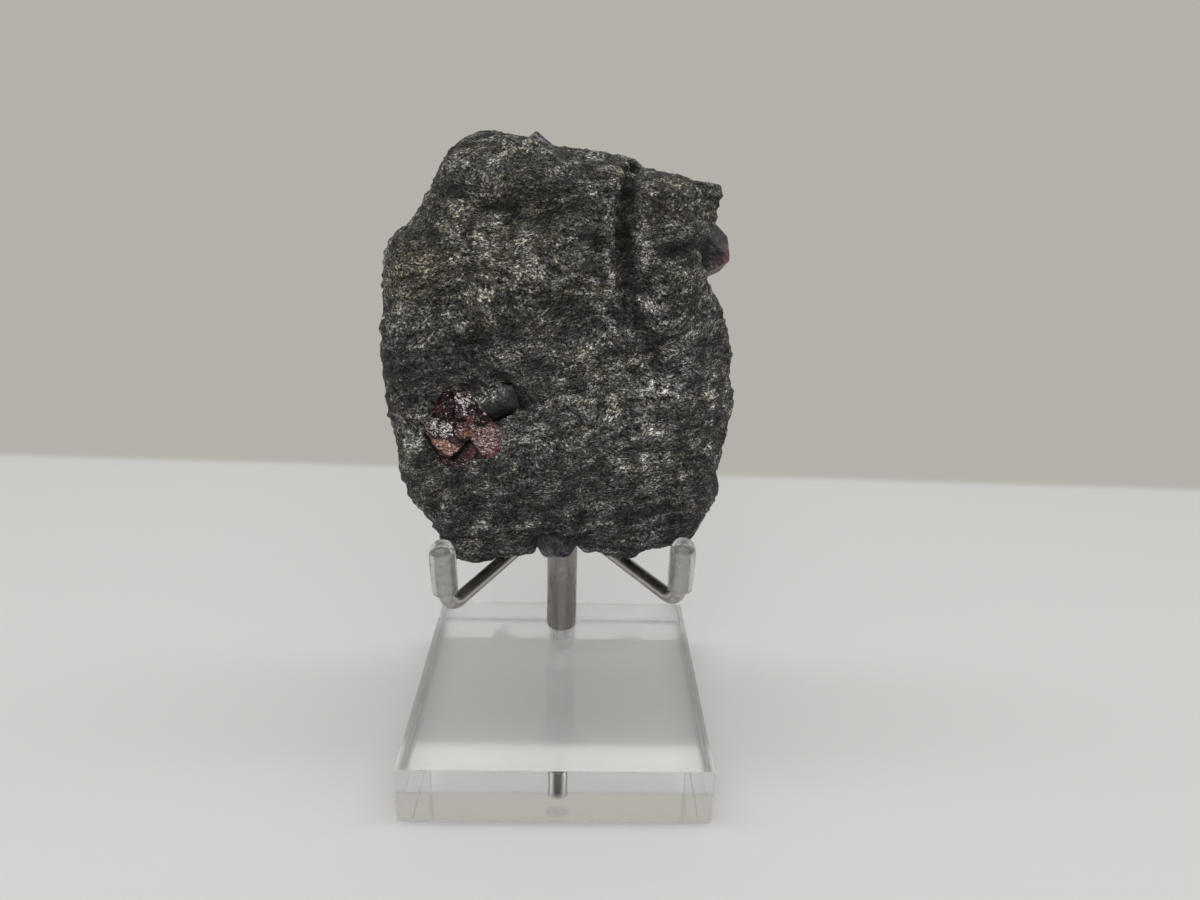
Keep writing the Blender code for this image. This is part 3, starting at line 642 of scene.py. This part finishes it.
def makeBrokenGarnet():
    gem = copyNode("garnet_front_broken", "broken_garnet")
    evenOut(gem, brokenGarnet)
    middle = Vector(brokenGarnet["middle"]) * mm
    grow = Matrix.Diagonal((*brokenGarnet["grow"], 1.0))
    shift = Matrix.Translation(middle + Vector(brokenGarnet["shift"]) * mm)
    gem.data.transform(shift @ grow @ Matrix.Translation(-middle))
    normals = [vertex.normal.copy() for vertex in gem.data.vertices]
    colours, paintedHighlights, grains = [], [], []
    for vertex, normal in zip(gem.data.vertices, normals):
        x, y, z = at = vertex.co / mm
        front = smoothStep(-normal.y, -0.1, 0.4)
        stray = noise.noise_vector(at / 1.2) + 0.4 * noise.noise_vector(at / 0.45)
        px, pz = x + stray.x * brokenGarnet["jitter"], z + stray.z * brokenGarnet["jitter"]
        gap = min(lineHeight(px, pz, line) for line in brokenGarnet["gaps"])
        ridge = max(lineHeight(px, pz, line) for line in brokenGarnet["ridges"])
        size, height = brokenGarnet["ripple"]
        move = chipHeight(x, y, z, brokenGarnet["chip"]) + gap + ridge
        move += height * (1 - 2.4 * abs(noise.noise(Vector((x / size, y / size, z / (0.6 * size))))))
        size, height = brokenGarnet["pit"]
        move += height * noise.noise(at / size)
        spot, height = brokenGarnet["swell"]
        move += height * blob(x, z, spot)
        vertex.co += normal * (move * front * mm)
        colour, paintedHighlight, grain = brokenGarnet["stone"], 0.2, 0.3
        for cx, cz, wide, high, turn, shine, rough, other in brokenGarnet["paint"]:
            share = smoothStep(blob(px, pz, (cx, cz, wide, high, turn)), 0.30, 0.46)
            colour = mixed(colour, other, share)
            paintedHighlight += (shine - paintedHighlight) * share
            grain += (rough - grain) * share
        # painted shade in the gaps: the deeper the gap, the nearer black
        dark = smoothStep(-gap, 0.06, 0.18)
        colour = mixed(colour, brokenGarnet["paintedGapShade"], dark)
        colour = mixed(colour, brokenGarnet["ridgeColour"], smoothStep(ridge, 0.15, 0.4))
        colours.append(colour)
        paintedHighlights.append(paintedHighlight * (1 - dark))
        grains.append(grain * (1 - dark))
    writeColours(gem.data, "paint", colours)
    writeNumbers(gem.data, "paintedHighlight", paintedHighlights)
    writeNumbers(gem.data, "grain", grains)
    return gem


def makeCoatedGarnet(name):
    node, worn, grow, shift, colour, spots = coatedGarnets[name]
    gem = copyNode(node, name)
    middle = sum((Vector(corner) for corner in gem.bound_box), Vector()) / 8
    gem.data.transform(Matrix.Translation(middle + Vector(shift) * mm) @ Matrix.Scale(grow, 4)
                       @ Matrix.Translation(-middle))
    activate(gem)
    bpy.ops.object.mode_set(mode="EDIT")
    bpy.ops.mesh.select_all(action="SELECT")
    bpy.ops.mesh.dissolve_limited(angle_limit=math.radians(2))
    bpy.ops.mesh.bevel(offset=worn * mm, segments=3, profile=0.6, affect="EDGES")
    bpy.ops.object.mode_set(mode="OBJECT")
    evenOut(gem, coated)
    normals = [vertex.normal.copy() for vertex in gem.data.vertices]
    (long, high), (small, low) = coated["wave"], coated["pit"]
    for vertex, normal in zip(gem.data.vertices, normals):
        at = vertex.co / mm
        move = high * noise.noise(at / long) + low * abs(noise.noise(at / small))
        vertex.co += normal * (move * mm)
    colours, films = [], []
    for vertex in gem.data.vertices:
        mix, film = colour, 0.0
        for *centre, radius, strength, cover, other in spots:
            away = math.dist(vertex.co / mm, centre) / radius
            share = min(1.0, 1.3 * strength * math.exp(-away * away))
            mix = mixed(mix, other, share)
            film += (cover - film) * share
        colours.append(mix)
        films.append(film)
    writeColours(gem.data, "paint", colours)
    writeNumbers(gem.data, "film", films)
    return gem


def brokenGarnetFinish():
    finish = Finish("broken garnet")
    at = finish.place()
    paint = finish.attribute("paint", "Color")
    paintedHighlight = finish.attribute("paintedHighlight")
    coarse = finish.attribute("grain")
    fibres = finish.noise(finish.stretch(at, (0.42, 0.42, 1.7), (0, 14, 0)), 0.36, 3.0, 0.65, 0.25)
    grain = finish.noise(at, 0.34, 2.0, 0.6)
    cloud = finish.noise(at, 1.2, 2.0, 0.6)
    colour = finish.blend(finish.between(cloud, 0.56, 0.44) * 0.45, paint, brokenGarnet["dark"])
    # splinters in the coarse chips, then dark pits, then white painted highlights
    splinter = finish.blend(1.0, paint, (2.3, 2.2, 2.2), "MULTIPLY")
    splinter = finish.blend(0.35, splinter, brokenGarnet["splinter"])
    colour = finish.blend(finish.between(fibres, 0.47, 0.58) * coarse * 0.85, colour, splinter)
    colour = finish.blend(finish.between(grain, 0.48, 0.40) * coarse * 0.85, colour, brokenGarnet["dark"])
    # painted highlights: white specks, denser where the paint table asks for more
    paintedHighlightMask = finish.between(fibres + (grain - 0.5) * 0.8 + paintedHighlight * 0.225, 0.71, 0.805)
    colour = finish.blend(paintedHighlightMask * finish.between(cloud, 0.40, 0.50), colour, brokenGarnet["paintedHighlight"])
    rough = 0.08 + coarse * 0.14 + finish.between(grain, 0.4, 0.7) * 0.08
    bumped = finish.bump(fibres, 0.30, finish.bump(grain, 0.14))
    finish.set(Base_Color=colour, Roughness=rough, Normal=bumped, IOR=1.79, Specular_IOR_Level=0.14)
    return finish.material


def coatedGarnetFinish():
    finish = Finish("coated garnet")
    at = finish.place()
    paint = finish.attribute("paint", "Color")
    film = finish.attribute("film")
    cloud = finish.noise(at, 1.3, 5.0, 0.68, 0.4)
    speck = finish.noise(at, 0.3, 3.0, 0.6)
    dim = finish.blend(1.0, paint, (0.42, 0.42, 0.43), "MULTIPLY")
    bright = finish.blend(1.0, paint, (1.8, 1.76, 1.74), "MULTIPLY")
    colour = finish.blend(finish.between(cloud, 0.36, 0.66), dim, bright)
    colour = finish.blend(finish.between(speck, 0.60, 0.74) * 0.4, colour, coated["crumbs"])
    # growth lines, and a film of rock grains over part of it
    lines = finish.noise(finish.stretch(at, (0.22, 1.0, 1.0), (0, 32, 0)), 0.6, 3.0, 0.6)
    crust = finish.noise(at, 0.5, 3.0, 0.6)
    level = (lines - 0.5) * 5.0 * (1 - film) + (crust - 0.5) * (4.0 + film * 18.0)
    rough = 0.20 + finish.between(cloud, 0.3, 0.7) * 0.20 + film * 0.4
    uneven = cloud * 0.7 + speck * 0.4 + lines * 0.8
    finish.set(Base_Color=finish.lit(colour, level), Roughness=rough, Normal=finish.bump(uneven, 0.24),
               IOR=1.55, Specular_IOR_Level=0.26)
    return finish.material


settle(makeBrokenGarnet(), "garnet_front_broken", brokenGarnetFinish(), 50)
coatedFinish = coatedGarnetFinish()
for name, (node, *_) in coatedGarnets.items():
    settle(makeCoatedGarnet(name), node, coatedFinish, 40)
print("garnets made")


# the stand, all in mm
block = {
    "side": 63.5, "height": 12.7, "edge": 0.1,
    "holeRadius": 2.3, "holeFloor": 4.8, "holeRim": 0.5, "holePoints": 64,
    "floorEdge": (0.4, 0.3),         # how far in and up the drill's point cut the hole's floor
    "postY": 21.0,           # how far back the hole and the post stand
    "paintedEdgeHighlight": (0.86, 0.86, 0.855),    # the painted highlight along the sanded upper edges
}

post = {
    "radius": 3.7, "foot": 13.0, "top": 50.0, "edge": 0.6,
    "pinRadius": 2.0, "pinEnd": 5.4, "pinChamfer": 0.3, "points": 96,
}

wire = {
    "radius": 1.5, "bend": 4.0, "steps": 12, "points": 32,
    "inPost": 1.2,           # where it starts, out from the post's axis
    # height it leaves the post at, where it turns, height its sleeve starts at, degrees it leans right
    "arms": {
        "left": (45.1, (-22.0, -20.1, 42.0), 46.0, -2.0),
        "right": (43.3, (24.1, -17.4, 42.5), 45.9, 0.8),
    },
    "back": {"root": 46.8, "turn": 54.0, "top": 79.0, "lean": 3.0, "bend": 24.0},
}

sleeve = {
    "length": 11.0, "crown": 2.6, "bore": 1.56, "points": 48,
    # radius and height of the outside, from the mouth up
    "outside": [
        (2.36, 0.0), (2.45, 0.12), (2.52, 0.9), (2.57, 1.8), (2.62, 3.2), (2.65, 4.6),
        (2.65, 6.2), (2.62, 7.6), (2.55, 8.5), (2.40, 9.25), (2.16, 9.9), (1.82, 10.4),
        (1.40, 10.72), (0.95, 10.9), (0.45, 10.98), (0.12, 11.0),
    ],
    "milk": (0.86, 0.87, 0.86),      # the haze in the clear vinyl
}


def latheRings(name, rings, points):
    # a round piece about Z, pulled out ring by ring from its first flat end to its last
    radius, height = rings[0]
    bpy.ops.object.select_all(action="DESELECT")
    bpy.ops.mesh.primitive_circle_add(vertices=points, radius=radius * mm, fill_type="NGON",
                                      location=(0, 0, 0))
    item = bpy.context.active_object
    item.name = name
    bpy.ops.object.mode_set(mode="EDIT")
    bpy.ops.mesh.select_all(action="SELECT")
    bpy.ops.transform.translate(value=(0, 0, height * mm))
    for (radius, height), (wider, higher) in zip(rings, rings[1:]):
        bpy.ops.mesh.extrude_region_move(TRANSFORM_OT_translate={"value": (0, 0, (higher - height) * mm)})
        bpy.ops.transform.resize(value=(wider / radius, wider / radius, 1), center_override=(0, 0, 0))
    bpy.ops.mesh.select_all(action="SELECT")
    bpy.ops.mesh.normals_make_consistent(inside=False)
    bpy.ops.object.mode_set(mode="OBJECT")
    return item


def roundedEdge(radius, height, edge, steps=5):
    # rings from a flat end out to the side wall; a negative edge turns it over, for the top
    size = abs(edge)
    turns = [math.pi / 2 * step / steps for step in range(steps + 1)]
    return [(radius - size + size * math.sin(turn), height + edge * (1 - math.cos(turn))) for turn in turns]


def makePost():
    pin, chamfer, edge = post["pinRadius"], post["pinChamfer"], post["edge"]
    rings = [(pin - chamfer, post["pinEnd"]), (pin, post["pinEnd"] + chamfer), (pin, post["foot"])]
    rings += roundedEdge(post["radius"], post["foot"], edge)
    rings += reversed(roundedEdge(post["radius"], post["top"], -edge))
    item = latheRings("steel_post", rings, post["points"])
    item.location.y = block["postY"] * mm
    return item


def standOn(item, base, up):
    item.matrix_world = Matrix.Translation(base) @ up.to_track_quat("Z", "Y").to_matrix().to_4x4()


def wirePiece(name, start, corner, tip, bend):
    # a rod pulled out to its bend, spun round it and pulled out to its tip
    into, out = (corner - start).normalized(), (tip - corner).normalized()
    half = into.angle(out) / 2
    reach = bend * math.tan(half)
    first, last = corner - into * reach, corner + out * reach
    centre = first + (out - into * into.dot(out)).normalized() * bend
    bpy.ops.object.select_all(action="DESELECT")
    bpy.ops.mesh.primitive_circle_add(vertices=wire["points"], radius=wire["radius"] * mm, fill_type="NGON",
                                      location=start, rotation=into.to_track_quat("Z", "Y").to_euler())
    item = bpy.context.active_object
    item.name = name
    bpy.context.view_layer.update()
    bpy.ops.object.mode_set(mode="EDIT")
    bpy.ops.mesh.select_all(action="SELECT")
    bpy.ops.mesh.extrude_region_move(TRANSFORM_OT_translate={"value": first - start})
    bpy.ops.mesh.spin(steps=wire["steps"], angle=2 * half, center=centre, axis=out.cross(into))
    bpy.ops.mesh.extrude_region_move(TRANSFORM_OT_translate={"value": tip - last})
    bpy.ops.mesh.select_all(action="SELECT")
    bpy.ops.mesh.normals_make_consistent(inside=False)
    bpy.ops.object.mode_set(mode="OBJECT")
    return item


def makeSleeve(name, base, up):
    # its bore from the closed end to the mouth, then its outside
    bore, top = sleeve["bore"], sleeve["length"] - sleeve["crown"]
    inside = [(0.4, top + 0.1), (bore - 0.25, top), (bore, top - 0.3), (bore, 0.25), (bore + 0.12, 0.02)]
    item = latheRings(name, inside + sleeve["outside"], sleeve["points"])
    standOn(item, base, up)
    return item


def makeArms(steel, vinyl):
    tipUp = (sleeve["length"] - sleeve["crown"]) * mm
    for side, (root, corner, sleeveFoot, lean) in wire["arms"].items():
        axis = Vector((0, block["postY"], root)) * mm
        corner = Vector(corner) * mm
        up = Matrix.Rotation(math.radians(lean), 3, "Y") @ Vector((0, 0, 1))
        foot = corner + up * (sleeveFoot * mm - corner.z)
        start = axis + (corner - axis).normalized() * wire["inPost"] * mm
        arm = wirePiece(side + "_wire", start, corner, foot + up * tipUp, wire["bend"] * mm)
        settle(arm, "arm_" + side, steel, 40)
        settle(makeSleeve(side + "_tip", foot, up), "cap_" + side, vinyl, 40)
    back = wire["back"]
    root = Vector((0, block["postY"], back["root"])) * mm
    corner = Vector((0, block["postY"], back["turn"])) * mm
    lean = math.radians(back["lean"])
    up = Vector((0, -math.sin(lean), math.cos(lean)))
    tip = corner + up * (back["top"] - back["turn"]) * mm
    settle(wirePiece("back_wire", root, corner, tip, back["bend"] * mm), "arm_back", steel, 40)
    settle(makeSleeve("back_tip", tip - up * tipUp, up), "cap_back", vinyl, 40)


def makeBlock():
    side, top = block["side"], block["height"]
    bpy.ops.object.select_all(action="DESELECT")
    bpy.ops.mesh.primitive_cube_add(size=1, location=(0, 0, 0))
    item = bpy.context.active_object
    item.name = "clear_block"
    bpy.ops.object.mode_set(mode="EDIT")
    bpy.ops.mesh.select_all(action="SELECT")
    bpy.ops.transform.resize(value=(side * mm, side * mm, top * mm), center_override=(0, 0, 0))
    bpy.ops.transform.translate(value=(0, 0, top / 2 * mm))
    bpy.ops.mesh.bevel(offset=block["edge"] * mm, segments=4, affect="EDGES")
    bpy.ops.object.mode_set(mode="OBJECT")
    radius, rim, floor = block["holeRadius"], block["holeRim"], block["holeFloor"]
    inward, upward = block["floorEdge"]
    rings = [(radius - inward, floor), (radius, floor + upward), (radius, top - rim), (radius + rim, top)]
    drill = latheRings("drill", rings + [(radius + rim, top + 2)], block["holePoints"])
    drill.location.y = block["postY"] * mm
    hole = item.modifiers.new("hole", "BOOLEAN")
    hole.operation = "DIFFERENCE"
    hole.solver = "EXACT"
    hole.object = drill
    bpy.context.view_layer.update()
    applyModifiers(item)
    bpy.data.objects.remove(drill)
    return item


def steelFinish(name, dull, bright):
    finish = Finish(name)
    at = finish.place()
    drawn = finish.noise(finish.stretch(at, (1.0, 1.0, 0.08)), 0.16, 3.0, 0.6)
    haze = finish.noise(at, 5.0, 3.0)
    colour = finish.blend(haze, dull, bright)
    finish.set(Base_Color=colour, Metallic=1.0, Roughness=0.17 + haze * 0.12 + drawn * 0.06,
               Normal=finish.bump(drawn, 0.012))
    return finish.material


def acrylicFinish():
    finish = Finish("acrylic")
    at = finish.place()
    haze = finish.noise(at, 6.0, 3.0)
    wear = finish.noise(finish.stretch(at, (1, 0.12, 1), (0, 0, 25)), 0.12, 3.0)
    out = finish.vector("ABSOLUTE", finish.vector("SUBTRACT", at, (0, 0, block["height"] / 2)))
    # the sanded edges, where two of the block's faces meet
    near = []
    for axis, half in zip("XYZ", (block["side"] / 2, block["side"] / 2, block["height"] / 2)):
        wall = finish.part(out, axis)
        near.append(finish.between(wall, half - block["edge"], half - 0.5 * block["edge"]))
    edge = finish.between(near[0] + near[1] + near[2], 1.05, 1.5)
    # the rough wall of the drilled hole
    sideways = finish.vector("MULTIPLY_ADD", at, (1, 1, 0), (0, -block["postY"], 0))
    drilled = 1 - finish.between(finish.vector("LENGTH", sideways, output="Value"), 2.9, 3.0)
    finish.set(Base_Color=(0.998, 1.0, 0.998, 1.0), Transmission_Weight=1.0, IOR=1.49,
               Roughness=0.004 + finish.between(haze, 0.5, 0.8) * 0.02 + edge * 0.25 + drilled * 0.35,
               Normal=finish.bump(wear, 0.0015))
    # the upper edges are mixed with matt white, a painted highlight over the sanded edges
    finish.mixIn(edge * 0.6 * finish.between(finish.part(at, "Z"), 12.0, 12.5), block["paintedEdgeHighlight"])
    return finish.material


def vinylFinish():
    finish = Finish("vinyl")
    at = finish.place()
    swirl = finish.noise(at, 1.1, 3.0, 0.5, 0.8)
    finish.set(Base_Color=(0.93, 0.945, 0.94, 1.0), Transmission_Weight=1.0, IOR=1.5,
               Roughness=0.03 + swirl * 0.08, Normal=finish.bump(swirl, 0.05))
    finish.mixIn(0.04 + finish.between(swirl, 0.35, 0.65) * 0.14, sleeve["milk"])
    return finish.material


steel = steelFinish("turned steel", (0.25, 0.238, 0.220), (0.35, 0.333, 0.308))
wireSteel = steelFinish("steel wire", (0.40, 0.385, 0.365), (0.52, 0.50, 0.475))
settle(makeBlock(), "base_block", acrylicFinish(), 10)
settle(makePost(), "post", steel, 40)
makeArms(wireSteel, vinylFinish())
print("stand made")
